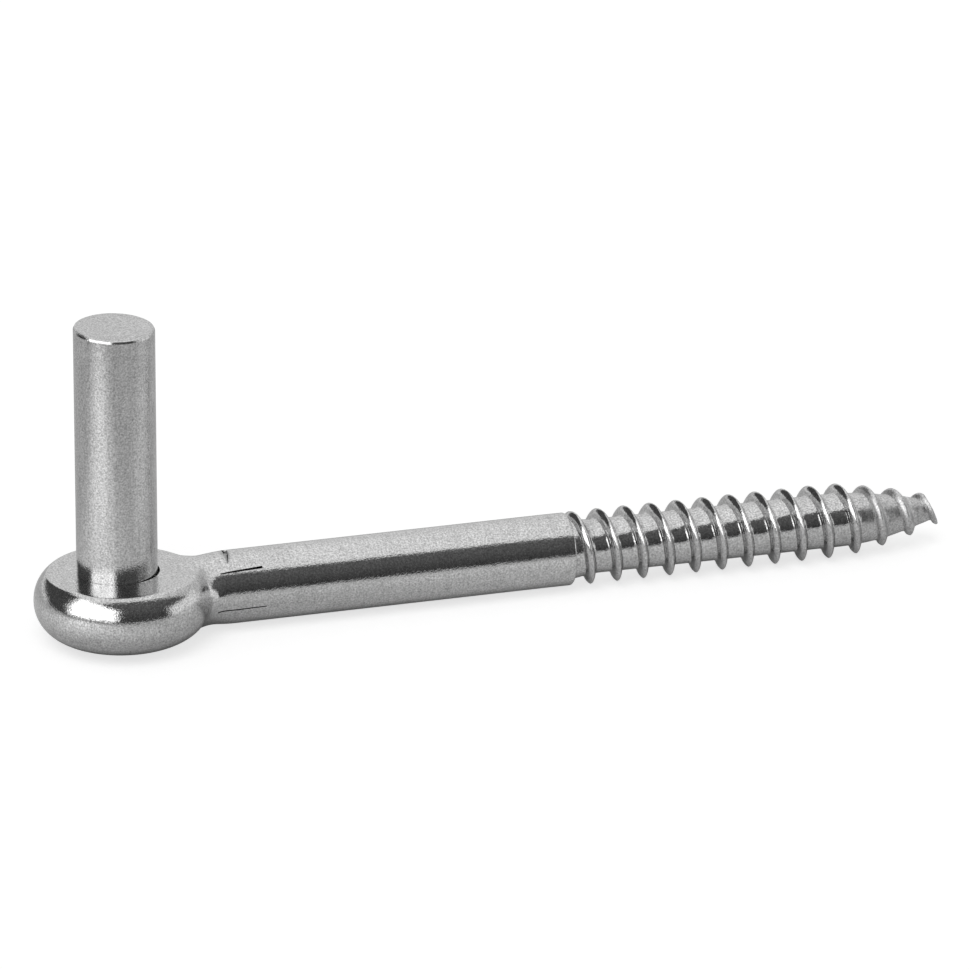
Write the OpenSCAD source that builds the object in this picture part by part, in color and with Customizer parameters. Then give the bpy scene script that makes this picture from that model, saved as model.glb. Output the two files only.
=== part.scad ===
// Screw hook for a strap hinge: a forged eye, shank and coarse lag thread in one piece,
// with a plain round pin standing upright in the eye.
// +Z runs up the pin and +X along the shank to the point. The origin is where their axes cross.

/* [Pin] */
// Diameter of the upright pin
pin_d = 12.1; // [9:0.1:13]
// Height of the pin above the flat top of the eye
pin_h = 38.7; // [20:0.1:60]
// Chamfer around the top of the pin
pin_chamfer = 0.4; // [0.2:0.1:1]
// Step by which the pin's foot, inside the eye, is thinner than the pin in radius
foot_step = 0.3; // [0.2:0.05:0.5]
// Height of that step above the flat top of the eye
foot_rise = 0.1; // [0.05:0.05:0.3]
// Radial gap between the pin's foot and the wall of its hole
pin_gap = 0.05; // [0.02:0.01:0.1]
// Depth of the worn mouth of the hole, on the shank side of the pin
mouth_depth = 1.2; // [0.5:0.1:2]
// Widest gap between the pin and the worn mouth
mouth_gap = 0.5; // [0.3:0.05:0.8]

/* [Eye] */
// Outer diameter of the forged eye
eye_d = 26.5; // [24:0.1:32]
// Thickness of the eye between its flat top and its flat underside
eye_t = 10.1; // [8:0.1:10.6]
// Depth by which each flat face cuts into the round of the rim
face_cut = 0.15; // [0.1:0.05:0.6]
// Distance from the pin's axis to the middle of the eye, towards the shank
eye_shift = 0.7; // [0:0.1:1.5]
// Radius of the hollow where the eye runs into the shank
neck_r = 3.5; // [2:0.1:6]

/* [Shank] */
// Diameter of the plain shank
shank_d = 11.1; // [10:0.1:12]
// Distance from the pin's axis to the end of the plain shank
plain_end = 70; // [45:0.5:120]

/* [Lag thread] */
// Diameter over the thread's crests
thread_d = 11.4; // [10.4:0.1:12.4]
// Diameter of the core between the ridges
core_d = 8.2; // [6.5:0.1:8.8]
// Distance from one ridge to the next
pitch = 4.25; // [3.2:0.05:5.5]
// Distance from the end of the plain shank to the tip
thread_len = 59.5; // [40:0.5:90]
// Length of the tapered point
point_len = 17.5; // [10:0.1:25]
// Width of a ridge at the core
ridge_base = 1.6; // [1.2:0.1:2]
// Width of a ridge at its crest
ridge_top = 0.5; // [0.3:0.05:0.9]
// Length over which the core swells to meet the plain shank
swell_len = 4; // [2:0.1:6]

/* [Hidden] */
$fn = 96;

pin_r = pin_d / 2;
foot_r = pin_r - foot_step;
hole_r = foot_r + pin_gap;
seat_z = eye_t / 2;
rim_r = seat_z + face_cut;
shank_r = shank_d / 2;
tip_x = plain_end + thread_len;

// The hollow of the neck is an arc that touches the eye's outline and the shank's side.
// The outline is drawn a little inside both, so that the blend dips cleanly into them.
tuck = 0.1;
tuck_slope = 0.15;
eye_r = eye_d / 2 - tuck;
side_r = shank_r - 0.03;
hollow_y = side_r + neck_r;
hollow_x = eye_shift + sqrt(pow(eye_r + neck_r, 2) - pow(hollow_y, 2));
touch_x = eye_shift + (hollow_x - eye_shift) * eye_r / (eye_r + neck_r);
neck_start = eye_shift + eye_r * 0.65;
neck_end = hollow_x + 2.5;
neck_rings = 14;
neck_sides = 40;

// Half the neck's width at x, in plan
function neck_half_width(x) =
    x < touch_x ? sqrt(pow(eye_r, 2) - pow(x - eye_shift, 2)) - tuck_slope * (touch_x - x)
    : x < hollow_x ? hollow_y - sqrt(pow(neck_r, 2) - pow(hollow_x - x, 2))
    : side_r;

// A smooth step from 0 at a to 1 at b
function ease(a, b, x) = let (t = min(1, max(0, (x - a) / (b - a)))) t * t * (3 - 2 * t);

// Half the neck's height at x, from just under the eye's faces up to the shank
function neck_half_height(x) =
    let (t = ease(neck_start, neck_end, x)) (seat_z - 0.3) * (1 - t) + side_r * t;

function neck_ring(x) = [
    for (i = [0:neck_sides - 1])
        let (a = 360 * i / neck_sides)
        [x, neck_half_width(x) * cos(a), neck_half_height(x) * sin(a)]
];

// Faces that join ring after ring of points into a closed skin with flat ends
function skin_faces(rings, sides) = concat(
    [[for (i = [0:sides - 1]) i]],
    [for (k = [0:rings - 2], i = [0:sides - 1]) let (
        a = k * sides + i,
        b = k * sides + (i + 1) % sides
    ) each [[a, a + sides, b], [b, a + sides, b + sides]]],
    [[for (i = [sides - 1:-1:0]) (rings - 1) * sides + i]]
);

module neck() {
    overlap = 0.4;
    xs = concat(
        [for (k = [0:neck_rings - 2]) neck_start + (neck_end - neck_start) * k / (neck_rings - 2)],
        [neck_end + overlap]
    );
    polyhedron(
        points = [for (x = xs) each neck_ring(x)],
        faces = skin_faces(neck_rings, neck_sides)
    );
}

module eye() {
    translate([eye_shift, 0, 0])
        rotate_extrude()
            intersection() {
                union() {
                    translate([eye_d / 2 - rim_r, 0]) circle(r = rim_r);
                    translate([0, -seat_z]) square([eye_d / 2 - rim_r, eye_t]);
                }
                translate([0, -seat_z]) square([eye_d, eye_t]);
            }
}

// The thread is a skin of helical rows: foot, two edges of the crest, foot, middle of the land.
// Every turn of the skin moves each row on by one pitch, so row and turn share one numbering.
rows = 5;
turn_steps = 30;
row_at = [0, (ridge_base - ridge_top) / 2, (ridge_base + ridge_top) / 2, ridge_base,
    (ridge_base + pitch) / 2];
// How far the middle of the ridge starts short of the end of the shank, on the far side
ridge_lead = -0.04 * pitch;
thread_start = plain_end - ridge_lead - ridge_base / 2 - pitch;
last_row = rows * (floor((tip_x - thread_start) / pitch) - 1) + 3;
skin_end = thread_start + row_x(last_row) + pitch;
fade_len = 0.3 * pitch;
squeeze_len = 0.3 * pitch;
hidden_gap = 0.35;
core_swell = 0.5;
crest_rise = 1;
tip_r = 0.5;
point_power = 2.4;

function row_x(j) = pitch * floor(j / rows) + row_at[j % rows];

// Radius of the core at x: swollen at the shank, plain along the thread, drawn in at the point
function core_radius(x) =
    let (
        swell = core_swell * (1 - ease(plain_end, plain_end + swell_len, x)),
        t = min(1, max(0, (x - tip_x + point_len) / point_len))
    )
    tip_r + (core_d / 2 - tip_r) * (1 - pow(t, point_power)) + swell;

// Height of the ridge at x: it rises out of the shank and is lower along the point
function ridge_height(x) =
    let (
        inside = shank_r - hidden_gap - core_d / 2 - core_swell,
        full = (thread_d - core_d) / 2,
        rise = ease(plain_end, plain_end + crest_rise, x),
        lower = 1 - 0.3 * ease(tip_x - point_len, tip_x - point_len / 2, x)
    )
    (inside * (1 - rise) + full * rise) * lower;

// The last turn is squeezed together, so that the skin ends short of the tip
function squeezed(x) =
    let (free = tip_x - squeeze_len)
    x < free ? x : tip_x - squeeze_len * exp((free - x) / squeeze_len);

function skin_point(j, i) =
    let (
        x_free = thread_start + row_x(j) + pitch * i / turn_steps,
        x = squeezed(x_free),
        a = 360 * i / turn_steps,
        crest = j % rows == 1 || j % rows == 2,
        fade = 1 - ease(skin_end - fade_len, skin_end, x_free),
        r = core_radius(x) + (crest ? ridge_height(x) * fade : 0)
    )
    [x, r * cos(a), r * sin(a)];

// A point's number: a row's last step is the first step of the row one turn on, where there is one
function skin_id(j, i) =
    i < turn_steps ? j * turn_steps + i
    : j + rows <= last_row ? (j + rows) * turn_steps
    : (last_row + 1) * turn_steps + j + rows - last_row - 1;

module lag_thread() {
    back = (last_row + 1) * turn_steps + rows;
    front = back + 1;
    start_loop = concat(
        [for (i = [0:turn_steps]) skin_id(0, i)],
        [for (j = [rows - 1:-1:1]) skin_id(j, 0)]
    );
    end_loop = concat(
        [for (i = [0:turn_steps]) skin_id(last_row, i)],
        [for (j = [1:rows - 1]) skin_id(last_row - j, turn_steps)]
    );
    polyhedron(
        points = concat(
            [for (j = [0:last_row], i = [0:turn_steps - 1]) skin_point(j, i)],
            [for (j = [last_row - rows + 1:last_row]) skin_point(j, turn_steps)],
            [[thread_start, 0, 0], [tip_x, 0, 0]]
        ),
        faces = concat(
            [for (j = [0:last_row - 1], i = [0:turn_steps - 1]) let (
                a = skin_id(j, i),
                b = skin_id(j + 1, i),
                c = skin_id(j + 1, i + 1),
                d = skin_id(j, i + 1)
            ) each [[a, b, c], [a, c, d]]],
            [for (k = [0:len(start_loop) - 1])
                [back, start_loop[k], start_loop[(k + 1) % len(start_loop)]]],
            [for (k = [0:len(end_loop) - 1])
                [front, end_loop[(k + 1) % len(end_loop)], end_loop[k]]]
        )
    );
}

module pin_hole() {
    cylinder(h = 2 * eye_t, r = hole_r, center = true);
    // The mouth is worn towards the shank and the front
    wear = mouth_gap / 2;
    translate([wear * cos(18), -wear * sin(18), seat_z - mouth_depth])
        cylinder(h = mouth_depth + 1, r = pin_r + wear);
}

module eye_screw() {
    color("silver")
        difference() {
            union() {
                eye();
                neck();
                translate([neck_end, 0, 0])
                    rotate([0, 90, 0]) cylinder(h = plain_end - neck_end, r = shank_r);
                lag_thread();
            }
            pin_hole();
        }
}

module pintle_pin() {
    top = seat_z + pin_h;
    step_z = seat_z + foot_rise;
    color("gainsboro")
        rotate_extrude()
            polygon([
                [0, -seat_z],
                [foot_r, -seat_z],
                [foot_r, step_z],
                [pin_r, step_z],
                [pin_r, top - pin_chamfer],
                [pin_r - pin_chamfer, top],
                [0, top]
            ]);
}

eye_screw();
pintle_pin();
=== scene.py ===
"""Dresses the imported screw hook: a forged eye, shank and lag thread in one piece, and its upright pin."""

import logging
import math
from collections.abc import Callable, Iterator
from contextlib import contextmanager
from dataclasses import dataclass
from enum import Enum

import bmesh
import bpy
import numpy as np
from mathutils import Matrix, Vector


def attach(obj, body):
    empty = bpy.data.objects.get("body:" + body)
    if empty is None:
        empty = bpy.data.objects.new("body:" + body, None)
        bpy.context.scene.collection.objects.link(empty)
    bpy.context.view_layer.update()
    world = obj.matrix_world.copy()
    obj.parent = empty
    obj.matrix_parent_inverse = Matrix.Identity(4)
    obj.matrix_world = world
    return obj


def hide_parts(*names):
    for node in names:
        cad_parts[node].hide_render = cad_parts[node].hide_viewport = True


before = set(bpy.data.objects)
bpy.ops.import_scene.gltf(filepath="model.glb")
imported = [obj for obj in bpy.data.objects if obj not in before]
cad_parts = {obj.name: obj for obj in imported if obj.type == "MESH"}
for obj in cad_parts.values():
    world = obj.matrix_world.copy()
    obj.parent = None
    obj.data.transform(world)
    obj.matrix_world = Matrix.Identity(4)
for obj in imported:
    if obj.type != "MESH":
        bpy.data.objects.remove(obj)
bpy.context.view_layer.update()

MM = 0.001
LOG = logging.getLogger("screw_hook")

Points = np.ndarray
Pair = tuple[float, float]
Triple = tuple[float, float, float]
Edges = tuple[float, float, float, float]
Form = Callable[[Points], Points]
FaceTest = Callable[[Vector, Vector], bool]
Feed = bpy.types.NodeSocket | float

ROUND_SIDES = 128
FACING = 0.9  # the least part of a face's normal along the axis that it faces
TINY = 1e-6


# ---------------------------------------------------------------- working at the bench


def deselect() -> None:
    """Leaves every object unselected."""
    bpy.ops.object.select_all(action="DESELECT")


def take_up(obj: bpy.types.Object) -> None:
    """Makes one object the only selected and active one.

    Args:
        obj: The object to work on next.
    """
    deselect()
    obj.select_set(True)
    bpy.context.view_layer.objects.active = obj


@contextmanager
def editing(obj: bpy.types.Object) -> Iterator[None]:
    """Opens an object in edit mode, with everything selected, for the length of a with block.

    Args:
        obj: The object to edit.
    """
    take_up(obj)
    bpy.ops.object.mode_set(mode="EDIT")
    bpy.ops.mesh.select_all(action="SELECT")
    try:
        yield
    finally:
        bpy.ops.object.mode_set(mode="OBJECT")


def pick_faces(obj: bpy.types.Object, test: FaceTest) -> None:
    """Selects the faces that pass a test of their place and normal, and nothing else.

    Args:
        obj: The object, open in edit mode.
        test: Is given a face's centre and normal, and says whether to select it.
    """
    bpy.ops.mesh.select_mode(type="FACE")
    bpy.ops.mesh.select_all(action="DESELECT")
    mesh = bmesh.from_edit_mesh(obj.data)
    for face in mesh.faces:
        if test(face.calc_center_median(), face.normal):
            face.select_set(True)
    bmesh.update_edit_mesh(obj.data)


def draw_out(step: Triple) -> None:
    """Extrudes the selected faces by a step."""
    bpy.ops.mesh.extrude_region_move(TRANSFORM_OT_translate={"value": step})


def add_cylinder(sides: int, radius: float, depth: float, centre: Triple) -> bpy.types.Object:
    """Adds an upright cylinder whose object stays at the origin.

    Args:
        sides: The number of its sides.
        radius: Its radius.
        depth: Its height.
        centre: The place of its middle.

    Returns:
        The cylinder.
    """
    deselect()
    bpy.ops.mesh.primitive_cylinder_add(vertices=sides, radius=radius, depth=depth, location=centre)
    cylinder = bpy.context.active_object
    bpy.ops.object.transform_apply(location=True, rotation=False, scale=False)
    return cylinder


def cut_off(obj: bpy.types.Object, place: Triple, normal: Triple) -> None:
    """Cuts an object with a plane, throws away the side the normal points to and closes the cut.

    Args:
        obj: The object to cut.
        place: A point on the plane.
        normal: The plane's normal, which points to the waste side.
    """
    with editing(obj):
        bpy.ops.mesh.bisect(plane_co=place, plane_no=normal, use_fill=True, clear_outer=True)


def apply_all(obj: bpy.types.Object) -> None:
    """Applies every modifier of an object, in order.

    Args:
        obj: The object whose modifiers are applied.
    """
    take_up(obj)
    for modifier in list(obj.modifiers):
        bpy.ops.object.modifier_apply(modifier=modifier.name)


def combine(obj: bpy.types.Object, tool: bpy.types.Object, operation: str) -> None:
    """Joins a second solid to an object, or cuts it out of it, and removes the second solid.

    Args:
        obj: The solid that is kept.
        tool: The solid that is joined or cut out.
        operation: UNION or DIFFERENCE.
    """
    for solid in (obj, tool):
        with editing(solid):
            bpy.ops.mesh.normals_make_consistent(inside=False)
    modifier = obj.modifiers.new("combine", "BOOLEAN")
    modifier.operation = operation
    modifier.solver = "EXACT"
    modifier.object = tool
    apply_all(obj)
    bpy.data.objects.remove(tool)


def read_points(obj: bpy.types.Object) -> Points:
    """Reads where an object's vertices are.

    Args:
        obj: The object.

    Returns:
        One row of x, y and z for each vertex.
    """
    flat = np.zeros(len(obj.data.vertices) * 3)
    obj.data.vertices.foreach_get("co", flat)
    return flat.reshape(-1, 3)


def write_points(obj: bpy.types.Object, points: Points) -> None:
    """Moves an object's vertices to new places.

    Args:
        obj: The object to reshape.
        points: Its vertices' new places, one row each.
    """
    obj.data.vertices.foreach_set("co", points.astype(np.float32).ravel())
    obj.data.update()


def finish_piece(obj: bpy.types.Object, name: str, crease: float) -> None:
    """Turns a piece modelled in millimetres into a finished one in metres, with its normals outward.

    Args:
        obj: The piece.
        name: The piece's final name.
        crease: The angle in degrees above which an edge stays sharp.
    """
    merge_within = 0.002
    with editing(obj):
        bpy.ops.mesh.remove_doubles(threshold=merge_within)
        bpy.ops.mesh.normals_make_consistent(inside=False)
    obj.data.transform(Matrix.Scale(MM, 4))
    obj.name = obj.data.name = name
    take_up(obj)
    bpy.ops.object.shade_smooth_by_angle(angle=math.radians(crease))


# ---------------------------------------------------------------- forms


def ease(start: float, end: float, at: Points) -> Points:
    """Returns a smooth step of at, from 0 at start to 1 at end."""
    t = np.clip((at - start) / (end - start), 0.0, 1.0)
    return t * t * (3.0 - 2.0 * t)


def blend_in(a: Points, b: Points, width: Points | float) -> Points:
    """Returns the smaller of two distances, with the corner between them filled over a width."""
    h = np.clip(0.5 + 0.5 * (b - a) / width, 0.0, 1.0)
    return b * (1.0 - h) + a * h - width * h * (1.0 - h)


def trim_by(a: Points, b: Points, width: Points | float) -> Points:
    """Returns the larger of two distances, with the edge between them rounded over a width."""
    return -blend_in(-a, -b, width)


def slide_to(points: Points, distance: Form, rounds: int) -> Points:
    """Slides points along a form's own slope until they lie on its surface.

    Args:
        points: The points, one row each.
        distance: The form, as a signed distance that is negative inside.
        rounds: How often each point is moved.

    Returns:
        The moved points.
    """
    reach, longest, gentlest = 0.01, 0.7, 0.05
    for _ in range(rounds):
        here = distance(points)
        rises = [distance(points + reach * axis) - distance(points - reach * axis) for axis in np.eye(3)]
        slope = np.stack([rise / (2 * reach) for rise in rises], axis=1)
        steep = np.maximum((slope * slope).sum(axis=1), gentlest)
        points = points - np.clip(here / steep, -longest, longest)[:, None] * slope
    return points


def even_out(obj: bpy.types.Object, points: Points, distance: Form, rounds: int) -> Points:
    """Spreads a mesh's vertices evenly over a form without leaving its surface.

    Args:
        obj: The object that says which vertices are neighbours.
        points: The vertices, already on the form.
        distance: The form, as a signed distance.
        rounds: How often each vertex moves towards its neighbours.

    Returns:
        The moved points.
    """
    ends = np.zeros(len(obj.data.edges) * 2, int)
    obj.data.edges.foreach_get("vertices", ends)
    first, second = ends.reshape(-1, 2).T
    count = np.bincount(ends, minlength=len(points))[:, None]
    for _ in range(rounds):
        total = np.zeros_like(points)
        np.add.at(total, first, points[second])
        np.add.at(total, second, points[first])
        points = slide_to(points + 0.5 * (total / count - points), distance, 2)
    return points


# ---------------------------------------------------------------- finishes


@dataclass(frozen=True)
class Ramp:
    """A smooth step: the two values between which it runs, and its results before and after."""

    low: float
    high: float
    start: float = 0.0
    end: float = 1.0


@dataclass(frozen=True)
class Patch:
    """A soft oval patch: its strength, middle and radii in millimetres, and its turn in degrees."""

    level: float
    centre: Pair
    radii: Pair
    turn: float = 0.0


class Wiring:
    """Adds shader nodes to one tree and links them."""

    def __init__(self, tree: bpy.types.NodeTree) -> None:
        """Takes up a tree."""
        self.nodes, self.links = tree.nodes, tree.links

    def feed(self, socket: bpy.types.NodeSocket, value: Feed) -> None:
        """Gives a socket its value.

        Args:
            socket: The input socket.
            value: A number, or the output socket that feeds it.
        """
        if isinstance(value, (int, float)):
            socket.default_value = value
        else:
            self.links.new(value, socket)

    def math(self, operation: str, *values: Feed) -> bpy.types.NodeSocket:
        """Adds a math node.

        Args:
            operation: The node's operation.
            values: A number or an output socket for each of its inputs.

        Returns:
            The node's output.
        """
        node = self.nodes.new("ShaderNodeMath")
        node.operation = operation
        for socket, value in zip(node.inputs, values):
            self.feed(socket, value)
        return node.outputs[0]

    def step(self, value: Feed, ramp: Ramp) -> bpy.types.NodeSocket:
        """Adds a smooth step.

        Args:
            value: What is followed.
            ramp: Where the step runs, and between which results.

        Returns:
            The node's output.
        """
        node = self.nodes.new("ShaderNodeMapRange")
        node.interpolation_type = "SMOOTHSTEP"
        for key, number in zip(
            ("From Min", "From Max", "To Min", "To Max"), (ramp.low, ramp.high, ramp.start, ramp.end)
        ):
            node.inputs[key].default_value = number
        self.feed(node.inputs["Value"], value)
        return node.outputs["Result"]

    def window(self, value: Feed, edges: Edges) -> bpy.types.NodeSocket:
        """Adds a soft-edged window that is 1 between the two middle edges and 0 beyond the outer two."""
        opened = self.step(value, Ramp(edges[0], edges[1]))
        return self.math("MULTIPLY", opened, self.step(value, Ramp(edges[2], edges[3], 1.0, 0.0)))

    def blend(self, low: Feed, high: Feed, share: Feed) -> bpy.types.NodeSocket:
        """Adds a mix of two levels, which is high where the share is 1."""
        return self.math("MULTIPLY_ADD", share, self.math("SUBTRACT", high, low), low)

    def coordinates(self, kind: str) -> bpy.types.NodeSocket:
        """Adds the texture coordinates of a kind."""
        return self.nodes.new("ShaderNodeTexCoord").outputs[kind]

    def axes(self, place: Feed) -> list[bpy.types.NodeSocket]:
        """Adds a node that splits a place.

        Args:
            place: The place.

        Returns:
            Its x, y and z.
        """
        split = self.nodes.new("ShaderNodeSeparateXYZ")
        self.feed(split.inputs[0], place)
        return list(split.outputs)

    def grey(self, level: Feed) -> bpy.types.NodeSocket:
        """Adds a neutral colour.

        Args:
            level: How bright it is.

        Returns:
            The node's output.
        """
        colour = self.nodes.new("ShaderNodeCombineColor")
        for channel in ("Red", "Green", "Blue"):
            self.feed(colour.inputs[channel], level)
        return colour.outputs["Color"]

    def noise(self, place: Feed, size: float) -> bpy.types.NodeSocket:
        """Adds a noise around zero.

        Args:
            place: The coordinates that it follows.
            size: The size of its spots, in millimetres.

        Returns:
            The noise, from -0.5 to 0.5.
        """
        noise = self.nodes.new("ShaderNodeTexNoise")
        noise.inputs["Scale"].default_value = 1.0 / (size * MM)
        noise.inputs["Detail"].default_value = 2.0
        self.feed(noise.inputs["Vector"], place)
        return self.math("SUBTRACT", noise.outputs["Fac"], 0.5)

    def stretched(self, place: Feed, scale: Triple) -> bpy.types.NodeSocket:
        """Adds a mapping that draws a texture out.

        Args:
            place: The coordinates to map.
            scale: One number for each axis, below 1 where the texture is drawn out.

        Returns:
            The mapped coordinates.
        """
        mapping = self.nodes.new("ShaderNodeMapping")
        mapping.inputs["Scale"].default_value = scale
        self.feed(mapping.inputs["Vector"], place)
        return mapping.outputs["Vector"]

    def patch(self, place: Feed, patch: Patch) -> bpy.types.NodeSocket:
        """Adds a soft oval patch on the plane of x and y.

        Args:
            place: Coordinates in metres.
            patch: Where it lies.

        Returns:
            An output that falls from 1 in the middle to 0 at the edge.
        """
        mapping = self.nodes.new("ShaderNodeMapping")
        mapping.vector_type = "TEXTURE"
        mapping.inputs["Location"].default_value = (patch.centre[0] * MM, patch.centre[1] * MM, 0.0)
        mapping.inputs["Rotation"].default_value = (0.0, 0.0, math.radians(patch.turn))
        mapping.inputs["Scale"].default_value = (patch.radii[0] * MM, patch.radii[1] * MM, 1.0)
        self.feed(mapping.inputs["Vector"], place)
        length = self.nodes.new("ShaderNodeVectorMath")
        length.operation = "LENGTH"
        self.feed(length.inputs[0], mapping.outputs["Vector"])
        return self.step(length.outputs["Value"], Ramp(0.0, 1.0, 1.0, 0.0))

    def mirrored(self, path: bpy.types.Node) -> bpy.types.NodeSocket:
        """Adds a switch that is 1 for the rays by which metal and glass see the scene."""
        return self.math("MAXIMUM", path.outputs["Is Glossy Ray"], path.outputs["Is Transmission Ray"])


@dataclass(frozen=True)
class ZincPlate:
    """Bright zinc plate over steel: neutral grey metal with a fine grain, faint clouds and drawn streaks, with
    an optional patch of painted shade.
    """

    tone: float = 0.62
    brightest: float = 0.95
    roughness: float = 0.12
    roughness_swing: float = 0.06
    matte_from: float = 113.0
    matte_over: float = 6.0
    matte_by: float = 0.3
    grain: float = 1.7
    grain_size: float = 0.26
    grain_depth: float = 0.02
    cloud: float = 0.2
    cloud_size: float = 3.5
    ripple_size: float = 1.1
    ripple_depth: float = 0.012
    streak: float = 0.35
    streak_size: float = 0.3
    streak_depth: float = 0.004
    streak_stretch: Triple = (1.0, 0.07, 0.07)
    # Painted shade: an optional oval patch, only on the top above a given height, darkens the colour to stand
    # in for the shade in the fold of a hammer nick.
    nick_shade: Patch | None = None
    nick_shade_above: Pair = (4.0, 4.5)

    def material(self, name: str) -> bpy.types.Material:
        """Builds the plate as a procedural material on object coordinates.

        Args:
            name: The material's name.

        Returns:
            The material.
        """
        made = bpy.data.materials.new(name)
        made.use_nodes = True
        wires = Wiring(made.node_tree)
        inputs = wires.nodes["Principled BSDF"].inputs
        inputs["Metallic"].default_value = 1.0
        place = wires.coordinates("Object")
        x, _, z = wires.axes(place)

        grain = wires.noise(place, self.grain_size)
        cloud = wires.noise(place, self.cloud_size)
        ripple = wires.noise(place, self.ripple_size)
        streak = wires.noise(wires.stretched(place, self.streak_stretch), self.streak_size)

        swing = wires.math("MULTIPLY_ADD", grain, self.grain, 1.0)
        swing = wires.math("MULTIPLY_ADD", cloud, self.cloud, swing)
        swing = wires.math("MULTIPLY_ADD", streak, self.streak, swing)
        tone = wires.math("MINIMUM", wires.math("MULTIPLY", swing, self.tone), self.brightest)
        # Painted shade: the colour is darkened inside the oval patch on the top, where the nick's fold would
        # be shaded.
        if self.nick_shade:
            above = wires.step(z, Ramp(self.nick_shade_above[0] * MM, self.nick_shade_above[1] * MM))
            nick_shade = wires.math("MULTIPLY", wires.patch(place, self.nick_shade), above)
            tone = wires.math("MULTIPLY", tone, wires.math("MULTIPLY_ADD", nick_shade, -self.nick_shade.level, 1.0))
        wires.feed(inputs["Base Color"], wires.grey(tone))

        matte_end = self.matte_from + self.matte_over
        matte = wires.step(x, Ramp(self.matte_from * MM, matte_end * MM, 0.0, self.matte_by))
        rough = wires.math("MULTIPLY_ADD", cloud, self.roughness_swing, self.roughness)
        wires.feed(inputs["Roughness"], wires.math("ADD", rough, matte))

        normal = None
        for height, depth in (
            (grain, self.grain_depth),
            (ripple, self.ripple_depth),
            (streak, self.streak_depth),
        ):
            bump = wires.nodes.new("ShaderNodeBump")
            bump.inputs["Distance"].default_value = depth * MM
            wires.feed(bump.inputs["Height"], height)
            if normal is not None:
                wires.feed(bump.inputs["Normal"], normal)
            normal = bump.outputs["Normal"]
        wires.feed(inputs["Normal"], normal)
        return made


class Finish(Enum):
    """The two surfaces of the hook."""

    # The forged finish carries the painted shade at the nick on top of the neck.
    FORGED = ZincPlate(nick_shade=Patch(0.5, (16.55, 0.0), (1.0, 3.2)))
    DRAWN = ZincPlate(
        tone=0.6,
        roughness=0.17,
        ripple_depth=0.004,
        streak_size=0.5,
        streak_stretch=(1.0, 1.0, 0.05),
    )


# ---------------------------------------------------------------- the forging


@dataclass(frozen=True)
class Slit:
    """A narrow lap or nick that the hammer left in the surface."""

    start: Triple
    end: Triple
    outward: Triple
    start_width: float
    end_width: float
    depth: float

    def tool(self) -> bpy.types.Object:
        """Models the slender cone that cuts the slit.

        Returns:
            The cone, lying in the surface, drawn deep across it.
        """
        start, end = Vector(self.start), Vector(self.end)
        run = end - start
        deselect()
        bpy.ops.mesh.primitive_cone_add(
            vertices=12, radius1=self.start_width / 2, radius2=self.end_width / 2, depth=run.length
        )
        cone = bpy.context.active_object
        with editing(cone):
            stretch = 2.0 * self.depth / max(self.start_width, self.end_width)
            bpy.ops.transform.resize(value=(1.0, stretch, 1.0), center_override=(0.0, 0.0, 0.0))
        along = run.normalized()
        deep = Vector(self.outward)
        deep = (deep - deep.dot(along) * along).normalized()
        turn = Matrix((deep.cross(along), deep, along)).transposed().to_4x4()
        cone.matrix_world = Matrix.Translation((start + end) / 2) @ turn
        bpy.ops.object.transform_apply(location=True, rotation=True, scale=False)
        return cone


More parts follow.
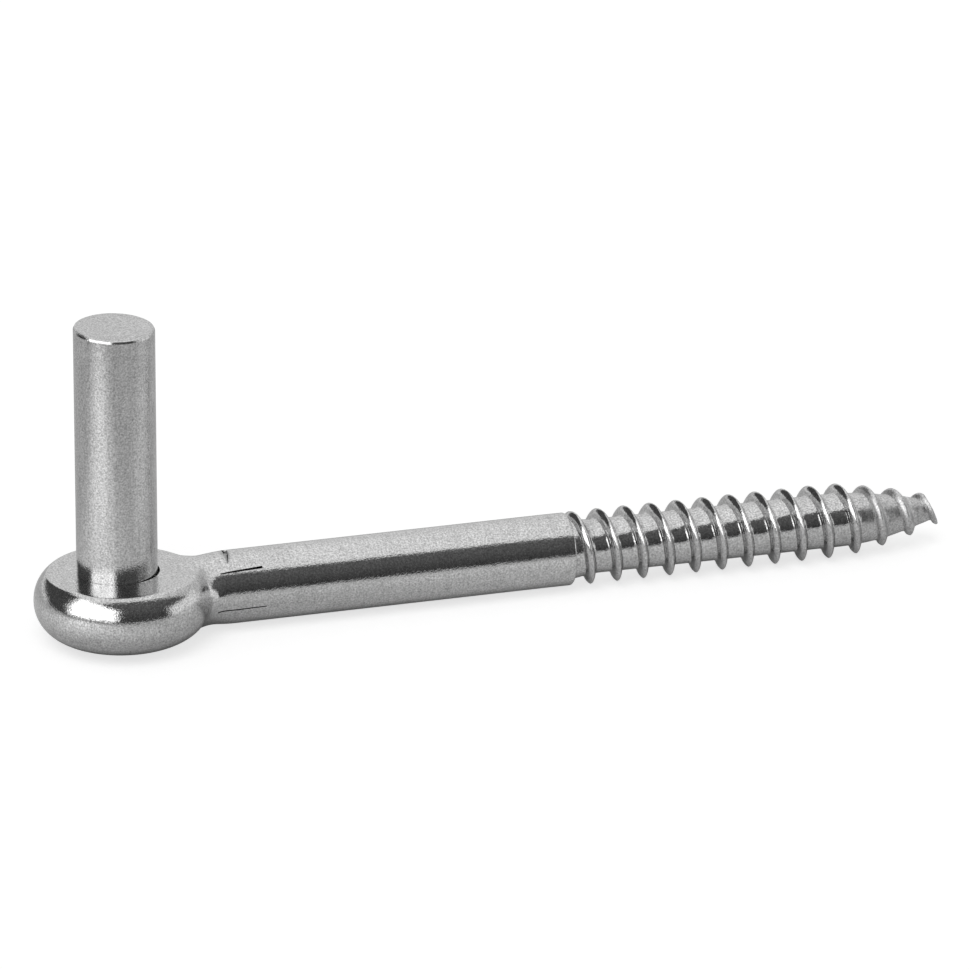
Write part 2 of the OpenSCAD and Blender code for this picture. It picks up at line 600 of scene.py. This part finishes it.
@dataclass
class Forging:
    """The eye, the neck, the plain shank and the lag thread, forged and rolled from one bar.

    Pairs that end in _at are the two places between which something changes. The flanks of the ridge
    are distances from its middle and out from the core, before it is stretched to its height.
    """

    crease: float = 38.0

    eye_shift: float = 0.7
    eye_radius: float = 13.12
    front_extra: float = 0.45
    rear_trim: float = 0.8
    rim_radius: float = 5.3
    rim_rise: Pair = (5.3, 5.68)
    rim_drop: Pair = (5.3, 5.1)
    front_rim_high: float = 0.6
    front_rim_low: float = 0.04
    top_z: float = 4.68
    top_fall: float = 0.037
    base_z: float = -5.08
    face_round: float = 0.3

    hole_radius: float = 5.8
    hole_depth: float = 14.0
    worn_radius: float = 5.7
    worn_shift: Triple = (0.62, -0.29, 0.0)
    worn_depth: float = 1.2

    shank_radius: float = 5.53
    shank_from: float = 4.0
    root_width: float = 5.25
    root_width_at: Pair = (11.0, 18.0)
    root_height: float = 4.5
    root_height_at: Pair = (6.5, 17.5)
    seam_fill: float = 0.2
    neck_fill: Pair = (1.2, 2.6)
    neck_fill_at: Pair = (7.5, 12.5)
    neck_low_at: Pair = (4.0, 0.0)
    plain_end: float = 70.0
    end_round: float = 0.3

    pitch: float = 4.25
    core_radius: float = 4.1
    core_swell: float = 0.5
    core_swell_length: float = 4.0
    land_end: float = 0.5
    near_flank: tuple[Pair, ...] = (
        (1.15, 0.0), (0.84, 0.13), (0.75, 0.36), (0.67, 0.6), (0.57, 0.86),
        (0.44, 1.07), (0.31, 1.24), (0.17, 1.39), (0.05, 1.49),
    )
    far_flank: tuple[Pair, ...] = (
        (0.03, 1.52), (0.15, 1.48), (0.29, 1.36), (0.44, 1.13), (0.57, 0.86),
        (0.67, 0.6), (0.75, 0.36), (0.84, 0.13), (1.05, 0.0),
    )
    ridge_height: float = 1.55
    ridge_start: float = 5.35
    ridge_rise_length: float = 1.2
    ridge_at: float = 70.16
    lead_turns: float = 2.5
    thread_root: float = 67.5
    turns: int = 18
    turn_steps: int = 72
    tip_x: float = 129.3
    point_length: float = 17.5
    point_power: float = 2.1
    point_ridge_loss: float = 0.3
    tip_radius: float = 0.6
    end_x: float = 128.05
    end_lean: float = 0.42

    cage_sides: int = 32
    cage_loops: Pair = (-2.4, 2.4)
    cage_insets: tuple[float, ...] = (2.4, 2.4, 2.2, 3.0)
    cage_stations: tuple[float, ...] = (16.0, 19.0, 23.0, 32.0, 44.0, 56.0, 66.0, 78.0)
    cage_levels: int = 3
    slide_rounds: int = 14
    even_rounds: int = 8

    bend_x: tuple[float, ...] = (
        0.0, 15.0, 66.0, 76.0, 84.0, 98.0, 110.0, 117.5, 121.0, 124.0, 126.0, 130.0,
    )
    bow_by: tuple[float, ...] = (
        0.0, 0.02, 0.04, -0.02, -0.08, -0.16, -0.19, -0.34, -0.4, -0.3, -0.32, -0.6,
    )
    creep_by: tuple[float, ...] = (
        0.0, 0.0, 0.0, 0.0, -0.15, -0.35, -0.3, 0.0, 0.06, 0.4, 0.55, 0.6,
    )
    slits: tuple[Slit, ...] = (
        Slit((14.9, -3.84, 3.98), (21.4, -3.62, 4.24), (0.0, -0.68, 0.73), 0.22, 0.42, 1.3),
        Slit((14.0, -5.5, -1.62), (21.6, -5.36, -1.43), (0.0, -0.95, -0.29), 0.22, 0.18, 0.9),
        Slit((16.8, 1.9, 5.2), (16.6, -0.4, 5.53), (-0.45, 0.12, 0.85), 1.15, 0.8, 0.34),
        Slit((16.62, -0.3, 5.53), (16.25, -2.5, 4.96), (-0.45, -0.25, 0.85), 0.85, 0.3, 0.3),
    )

    def build(self) -> bpy.types.Object:
        """Models the forging and dresses it.

        Returns:
            The finished piece.
        """
        body = self._body()
        combine(body, self._thread(), "UNION")
        finish_piece(body, "forging", self.crease)
        body.data.materials.append(Finish.FORGED.value.material("forged_zinc"))
        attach(body, "root")
        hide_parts("eye_screw")
        return body

    def _bow(self, x: Points) -> Points:
        """Returns how far the slightly bent axis of the shank lies above the straight line at x."""
        return np.interp(x, self.bend_x, self.bow_by)

    def _eye_distance(self, p: Points) -> Points:
        """Measures the eye without its hole: an oval rim, fuller in front, with a flat top.

        Args:
            p: The points, one row each.

        Returns:
            Each point's signed distance to the eye, which is negative inside.
        """
        x, y, z = p.T
        across = x - self.eye_shift
        out = np.maximum(np.hypot(across, y), TINY)
        front = ease(-1.0, 1.0, -y / out)
        trim = 2.0 * self.rear_trim * np.maximum(across, 0.0) * np.maximum(y, 0.0) / out**2
        reach = self.eye_radius + self.front_extra * front**2 - trim
        middle = np.clip(z, self.front_rim_low * front, self.front_rim_high * front)
        rise, drop = (rear + (ahead - rear) * front for rear, ahead in (self.rim_rise, self.rim_drop))
        tall = np.where(z > middle, rise, drop)
        side = np.maximum(out - reach + self.rim_radius, 0.0)
        rim = np.hypot(side, (z - middle) * self.rim_radius / tall) - self.rim_radius
        top = z - self.top_z + self.top_fall * y
        return trim_by(trim_by(rim, top, self.face_round), self.base_z - z, self.face_round)

    def _body_distance(self, p: Points) -> Points:
        """Measures the eye and the shank, blended into each other at the neck.

        Args:
            p: The points, one row each.

        Returns:
            Each point's signed distance to the body, which is negative inside.
        """
        x, y, z = p.T
        wide = self.root_width + (self.shank_radius - self.root_width) * ease(*self.root_width_at, x)
        high = self.root_height + (self.shank_radius - self.root_height) * ease(*self.root_height_at, x)
        shank = (np.hypot(y / wide, (z - self._bow(x)) / high) - 1.0) * high
        shank = np.maximum(shank, self.shank_from - x)
        low = ease(*self.neck_low_at, z)
        above, below = self.neck_fill
        fill = self.seam_fill + (above + (below - above) * low) * ease(*self.neck_fill_at, x)
        return blend_in(self._eye_distance(p), shank, fill)

    def _cage(self) -> bpy.types.Object:
        """Models a coarse cage of the eye and draws the shank out of its side.

        Returns:
            The cage.
        """
        middle = (self.eye_shift, 0.0, 0.0)
        cage = add_cylinder(self.cage_sides, self.eye_radius, 2.0 * self.rim_radius, middle)
        with editing(cage):
            for z in self.cage_loops:
                bpy.ops.mesh.select_all(action="SELECT")
                bpy.ops.mesh.bisect(plane_co=(0.0, 0.0, z), plane_no=(0.0, 0.0, 1.0))
            pick_faces(cage, lambda centre, normal: abs(normal.z) > FACING)
            for width in self.cage_insets:
                bpy.ops.mesh.inset(thickness=width, depth=0.0)
            reach = self.eye_radius
            pick_faces(cage, lambda centre, normal: normal.x > FACING and centre.x > 0.8 * self.eye_radius)
            for x in self.cage_stations:
                draw_out((x - reach, 0.0, 0.0))
                bpy.ops.transform.resize(value=(0.0, 1.0, 1.0), center_override=(x, 0.0, 0.0))
                reach = x
        return cage

    def _bore(self, radius: float, centre: Triple, depth: float) -> bpy.types.Object:
        """Models the cylinder that bores down into the eye.

        Args:
            radius: The bore's radius.
            centre: A point on its axis.
            depth: How far it goes below the eye's top.

        Returns:
            The cylinder.
        """
        above = 3.0
        place = (centre[0], centre[1], self.top_z + (above - depth) / 2)
        return add_cylinder(ROUND_SIDES, radius, depth + above, place)

    def _body(self) -> bpy.types.Object:
        """Models the eye with its hole, the neck and the plain shank.

        Returns:
            The body, closed at the end of the plain shank.
        """
        body = self._cage()
        smooth = body.modifiers.new("smooth", "SUBSURF")
        smooth.levels = smooth.render_levels = self.cage_levels
        apply_all(body)
        points = slide_to(read_points(body), self._body_distance, self.slide_rounds)
        write_points(body, even_out(body, points, self._body_distance, self.even_rounds))
        cut_off(body, (self.plain_end, 0.0, 0.0), (1.0, 0.0, 0.0))
        with editing(body):
            end = self.plain_end - 0.01
            pick_faces(body, lambda centre, normal: centre.x > end and normal.x > FACING)
            bpy.ops.mesh.region_to_loop()
            bpy.ops.mesh.bevel(offset=self.end_round, segments=3, affect="EDGES")
        combine(body, self._bore(self.hole_radius, (0.0, 0.0, 0.0), self.hole_depth), "DIFFERENCE")
        combine(body, self._bore(self.worn_radius, self.worn_shift, self.worn_depth), "DIFFERENCE")
        for slit in self.slits:
            combine(body, slit.tool(), "DIFFERENCE")
        return body

    def _ridge_profile(self) -> list[Pair]:
        """Draws one pitch of the thread's profile.

        Returns:
            Its points, as distances along the thread and out from its axis.
        """
        core, middle = self.core_radius, self.pitch / 2
        stretch = self.ridge_height / self.far_flank[0][1]
        rise = [(middle - u, core + v * stretch) for u, v in self.near_flank]
        fall = [(middle + u, core + v * stretch) for u, v in self.far_flank]
        land = [(0.0, core), (self.land_end, core)]
        return land + rise + fall + [(self.pitch - self.land_end, core), (self.pitch, core)]

    def _thread(self) -> bpy.types.Object:
        """Models the lag thread: one pitch of its profile, turned into a screw and drawn in at the point.

        Returns:
            The thread, closed at both ends.
        """
        profile = self._ridge_profile()
        start = self.ridge_at - self.pitch * self.lead_turns
        deselect()
        bpy.ops.mesh.primitive_plane_add(size=1.0, location=(0.0, 0.0, 0.0))
        thread = bpy.context.active_object
        with editing(thread):
            bpy.ops.mesh.select_mode(type="VERT")
            bpy.ops.mesh.select_all(action="SELECT")
            bpy.ops.mesh.merge(type="CENTER")
            bpy.ops.transform.translate(value=(start + profile[0][0], profile[0][1], 0.0))
            for before, after in zip(profile, profile[1:]):
                step = (after[0] - before[0], after[1] - before[1], 0.0)
                bpy.ops.mesh.extrude_vertices_move(TRANSFORM_OT_translate={"value": step})
        screw = thread.modifiers.new("screw", "SCREW")
        screw.axis = "X"
        screw.angle = math.tau
        screw.screw_offset = self.pitch
        screw.iterations = self.turns
        screw.steps = screw.render_steps = self.turn_steps
        apply_all(thread)
        with editing(thread):
            bpy.ops.mesh.remove_doubles(threshold=0.01)
        write_points(thread, self._drawn_in(read_points(thread)))
        cut_off(thread, (self.thread_root, 0.0, 0.0), (-1.0, 0.0, 0.0))
        cut_off(thread, (self.end_x, 0.0, 0.0), (1.0, 0.0, self.end_lean))
        return thread

    def _drawn_in(self, p: Points) -> Points:
        """Swells the thread's core at the shank and draws core and ridge in along the point.

        Args:
            p: The vertices of a plain screw.

        Returns:
            Their places on the finished thread.
        """
        x, y, z = p.T
        out = np.hypot(y, z)
        height = (out - self.core_radius) / self.ridge_height
        t = np.clip((x - self.tip_x + self.point_length) / self.point_length, 0.0, 1.0)
        core = self.tip_radius + (self.core_radius - self.tip_radius) * (1.0 - t**self.point_power)
        point_start, point_middle = self.tip_x - self.point_length, self.tip_x - self.point_length / 2
        crest = core + self.ridge_height * (1.0 - self.point_ridge_loss * ease(point_start, point_middle, x))
        risen = ease(self.plain_end, self.plain_end + self.ridge_rise_length, x)
        crest = self.ridge_start + (crest - self.ridge_start) * risen
        settled = ease(self.plain_end, self.plain_end + self.core_swell_length, x)
        core = core + self.core_swell * (1.0 - settled)
        scale = (core + height * (crest - core)) / np.maximum(out, TINY)
        moved = x + np.interp(x, self.bend_x, self.creep_by)
        return np.stack([moved, y * scale, z * scale + self._bow(moved)], axis=1)


# ---------------------------------------------------------------- the pin


@dataclass
class PintlePin:
    """The plain drawn pin that stands in the eye. Each step of its top edge goes inward and then up."""

    crease: float = 15.0
    radius: float = 6.05
    foot_radius: float = 5.75
    foot_z: float = -5.05
    step_z: float = 4.7
    step_lean: float = 2.12
    top_z: float = 43.58
    top_lean: float = -1.7
    edge_steps: tuple[Pair, ...] = ((0.15, 0.3), (0.2, 0.1))

    def build(self) -> bpy.types.Object:
        """Models the pin and dresses it.

        Returns:
            The finished piece.
        """
        edge_z = self.top_z - sum(rise for _, rise in self.edge_steps)
        middle = (0.0, 0.0, (edge_z + self.step_z) / 2)
        pin = add_cylinder(ROUND_SIDES, self.radius, edge_z - self.step_z, middle)
        with editing(pin):
            self._shape_foot(pin)
            self._shape_top(pin, edge_z)
        finish_piece(pin, "pin", self.crease)
        pin.data.materials.append(Finish.DRAWN.value.material("drawn_zinc"))
        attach(pin, "root")
        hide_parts("pintle_pin")
        return pin

    def _shape_foot(self, pin: bpy.types.Object) -> None:
        """Draws the thinner foot down into the eye, under a step that leans with the eye's top.

        Args:
            pin: The pin, open in edit mode.
        """
        pick_faces(pin, lambda centre, normal: normal.z < -FACING)
        bpy.ops.mesh.inset(thickness=self.radius - self.foot_radius, depth=0.0)
        draw_out((0.0, 0.0, self.foot_z - self.step_z))
        pick_faces(pin, lambda centre, normal: normal.z < -FACING and centre.z > self.step_z - 0.1)
        bpy.ops.transform.rotate(
            value=math.radians(self.step_lean), orient_axis="X", center_override=(0.0, 0.0, self.step_z)
        )

    def _shape_top(self, pin: bpy.types.Object, edge_z: float) -> None:
        """Draws the steep edge up round the top, and leans it.

        Args:
            pin: The pin, open in edit mode.
            edge_z: The height at which the edge begins.
        """
        pick_faces(pin, lambda centre, normal: normal.z > FACING)
        radius = self.radius
        for inward, rise in self.edge_steps:
            draw_out((0.0, 0.0, rise))
            share = (radius - inward) / radius
            bpy.ops.transform.resize(value=(share, share, 1.0), center_override=(0.0, 0.0, self.top_z))
            radius -= inward
        pick_faces(pin, lambda centre, normal: centre.z > edge_z)
        bpy.ops.transform.rotate(
            value=math.radians(self.top_lean), orient_axis="Y", center_override=(0.0, 0.0, self.top_z)
        )


# ---------------------------------------------------------------- the studio


@dataclass(frozen=True)
class Floor:
    """A pale sheet that the camera sees as white, apart from the shadow, with painted light and painted shade
    in patches that only the metal's reflections see.
    """

    z: float = -5.88
    size: float = 3000.0
    tone: float = 0.8
    lit_level: float = 0.3
    shadow_share: float = 0.6
    mirror_loss: float = 0.1
    # Painted light: a pool of light and a glowing patch in front, seen only in the metal's reflections.
    # Painted shade: a patch that darkens the sheet round the object in those reflections and dims the pool
    # there.
    light_pool: Patch = Patch(0.6, (-67.0, -43.6), (114.0, 68.0), 213.0)
    front: Patch = Patch(0.2, (76.0, -35.0), (85.0, 45.0))
    shade: Patch = Patch(0.35, (0.0, -2.0), (30.0, 29.0))

    def build(self) -> None:
        """Lays the sheet."""
        deselect()
        bpy.ops.mesh.primitive_plane_add(size=self.size * MM, location=(0.0, 0.0, self.z * MM))
        floor = bpy.context.active_object
        floor.name = "floor"
        floor.data.materials.append(self._material())

    def _material(self) -> bpy.types.Material:
        """Builds the sheet's material.

        Returns:
            The material.
        """
        made = bpy.data.materials.new("white_sheet")
        made.use_nodes = True
        wires = Wiring(made.node_tree)
        inputs = wires.nodes["Principled BSDF"].inputs
        inputs["Roughness"].default_value = 1.0
        inputs["Specular IOR Level"].default_value = 0.0
        inputs["Emission Color"].default_value = (1.0, 1.0, 1.0, 1.0)
        path = wires.nodes.new("ShaderNodeLightPath")
        camera, mirrored = path.outputs["Is Camera Ray"], wires.mirrored(path)
        place = wires.coordinates("Object")
        shade, front = wires.patch(place, self.shade), wires.patch(place, self.front)
        # Painted light: the pool and the front patch glow only for the metal's reflections, and the pool is
        # dimmed where the painted shade lies.
        light_pool = wires.blend(wires.patch(place, self.light_pool), 0.0, shade)
        glow = wires.math("MULTIPLY", camera, 1.0 - self.lit_level)
        for patch, level in ((light_pool, self.light_pool.level), (front, self.front.level)):
            glow = wires.math("MULTIPLY_ADD", wires.math("MULTIPLY", mirrored, level), patch, glow)
        wires.feed(inputs["Emission Strength"], glow)
        # Painted shade: in the metal's reflections the sheet is darker inside the shade patch, on top of an
        # even loss.
        loss = wires.math("MULTIPLY_ADD", shade, self.shade.level, self.mirror_loss)
        dim = wires.math("MULTIPLY", mirrored, loss)
        dim = wires.math("MULTIPLY_ADD", camera, 1.0 - self.shadow_share, dim)
        tone = wires.math("MULTIPLY", wires.math("SUBTRACT", 1.0, dim), self.tone)
        wires.feed(inputs["Base Color"], wires.grey(tone))
        return made


@dataclass(frozen=True)
class Dome:
    """What metal mirrors: a bright rear, a dim front, a panel at the right, a flag and a soft box at the left.

    Heights and places to the side are shares of the dome's radius. Turns are radians to the left of the front.
    """

    rear_by_height: Ramp = Ramp(0.2, 0.9, 0.94, 1.18)
    rear_by_side: Ramp = Ramp(0.3, 0.8, 1.0, 0.78)
    rear_direction: Pair = (0.769, 0.639)
    rear_edge: Ramp = Ramp(0.19, 0.25)
    front_by_height: Ramp = Ramp(0.0, 0.8, 0.065, 0.15)
    panel_level: float = 1.1
    panel_turn: Edges = (-1.9, -1.75, -0.9, -0.82)
    panel_top: Ramp = Ramp(0.34, 0.43, 1.0, 0.0)
    flag_turn: Edges = (1.64, 1.72, 2.85, 2.95)
    flag_top: Ramp = Ramp(0.73, 0.8, 1.0, 0.0)
    sill_by_turn: Ramp = Ramp(2.1, 2.4, -0.05, 0.1)
    sill_level: Ramp = Ramp(0.0, 0.04, 0.95, 0.09)
    box_level: float = 2.6
    box_turn: Edges = (0.3, 0.42, 1.5, 1.6)
    box_foot: Ramp = Ramp(0.05, 0.12)
    box_top: Ramp = Ramp(0.7, 0.77, 1.0, 0.0)
    box_slant: Ramp = Ramp(0.4, 0.9, 0.12, 0.0)
    fill_level: float = 0.55

    def build(self) -> None:
        """Surrounds the object with the dome: white to the camera, and an even fill to everything matte."""
        world = bpy.data.worlds.new("dome")
        bpy.context.scene.world = world
        world.use_nodes = True
        wires = Wiring(world.node_tree)
        wires.nodes.clear()
        path = wires.nodes.new("ShaderNodeLightPath")
        camera, mirrored = path.outputs["Is Camera Ray"], wires.mirrored(path)
        matte = wires.math("SUBTRACT", wires.math("SUBTRACT", 1.0, camera), mirrored)
        seen = wires.math("MULTIPLY_ADD", mirrored, self._level(wires), camera)
        background = wires.nodes.new("ShaderNodeBackground")
        wires.feed(background.inputs["Strength"], wires.math("MULTIPLY_ADD", matte, self.fill_level, seen))
        output = wires.nodes.new("ShaderNodeOutputWorld")
        wires.feed(output.inputs["Surface"], background.outputs[0])

    def _level(self, wires: Wiring) -> bpy.types.NodeSocket:
        """Adds the dome's brightness in every direction.

        Args:
            wires: The world's nodes.

        Returns:
            The brightness.
        """
        x, y, z = wires.axes(wires.coordinates("Generated"))
        turn = wires.math("ARCTAN2", wires.math("MULTIPLY", x, -1.0), wires.math("MULTIPLY", y, -1.0))

        back, up = self.rear_direction
        lean = wires.math("MULTIPLY_ADD", y, back, wires.math("MULTIPLY", z, up))
        rear = wires.math("MULTIPLY", wires.step(z, self.rear_by_height), wires.step(x, self.rear_by_side))
        level = wires.blend(wires.step(z, self.front_by_height), rear, wires.step(lean, self.rear_edge))

        panel = wires.math("MULTIPLY", wires.window(turn, self.panel_turn), wires.step(z, self.panel_top))
        level = wires.blend(level, self.panel_level, panel)

        flag = wires.math("MULTIPLY", wires.window(turn, self.flag_turn), wires.step(z, self.flag_top))
        sill = wires.math("SUBTRACT", z, wires.step(turn, self.sill_by_turn))
        level = wires.blend(level, wires.step(sill, self.sill_level), flag)

        slant = wires.math("ADD", z, wires.step(turn, self.box_slant))
        box = wires.math("MULTIPLY", wires.step(z, self.box_foot), wires.step(slant, self.box_top))
        box = wires.math("MULTIPLY", wires.window(turn, self.box_turn), box)
        return wires.math("MULTIPLY_ADD", box, self.box_level, level)


@dataclass(frozen=True)
class Lamp:
    """One wide, distant lamp high at the left, which gives the object its soft shadow."""

    tilt: Pair = (25.0, -20.0)
    spread: float = 40.0
    energy: float = 0.9

    def build(self) -> None:
        """Hangs the lamp, out of sight of the metal."""
        deselect()
        turn = (math.radians(self.tilt[0]), math.radians(self.tilt[1]), 0.0)
        bpy.ops.object.light_add(type="SUN", rotation=turn)
        lamp = bpy.context.active_object
        lamp.data.energy = self.energy
        lamp.data.angle = math.radians(self.spread)
        lamp.visible_glossy = False


@dataclass(frozen=True)
class Camera:
    """The camera, where the photograph was taken from. Its scale is pixels for each millimetre."""

    azimuth: float = -16.6726
    elevation: float = 22.7527
    roll: float = 0.3386
    distance: float = 1240.0
    scale: float = 6.6611
    target: Triple = (56.93, 0.0, 12.0279)
    frame_size: int = 969
    sensor: float = 36.0
    clip: Pair = (0.05, 20.0)

    def build(self) -> None:
        """Sets up the camera."""
        a, e, r = (math.radians(v) for v in (self.azimuth, self.elevation, self.roll))
        back = Vector((math.sin(a) * math.cos(e), -math.cos(a) * math.cos(e), math.sin(e)))
        level = Vector((math.cos(a), math.sin(a), 0.0))
        upright = back.cross(level)
        right = math.cos(r) * level + math.sin(r) * upright
        up = math.cos(r) * upright - math.sin(r) * level
        data = bpy.data.cameras.new("camera")
        data.sensor_width = self.sensor
        data.lens = self.scale * self.distance * self.sensor / self.frame_size
        data.clip_start, data.clip_end = self.clip
        camera = bpy.data.objects.new("camera", data)
        bpy.context.scene.collection.objects.link(camera)
        turn = Matrix((right, up, back)).transposed().to_4x4()
        camera.matrix_world = Matrix.Translation((Vector(self.target) + back * self.distance) * MM) @ turn
        bpy.context.scene.camera = camera


def main() -> None:
    """Builds the pieces in order and reports each one."""
    logging.basicConfig(level=logging.INFO, format="%(message)s")
    bpy.context.scene.view_settings.view_transform = "Standard"
    for part in (Forging(), PintlePin()):
        piece = part.build()
        box = [tuple(corner) for corner in piece.bound_box][::6]
        LOG.info("%s: %d faces, box %s", piece.name, len(piece.data.polygons), box)
    for fitting in (Floor(), Dome(), Lamp(), Camera()):
        fitting.build()
    LOG.info("studio ready")


if __name__ == "__main__":
    main()
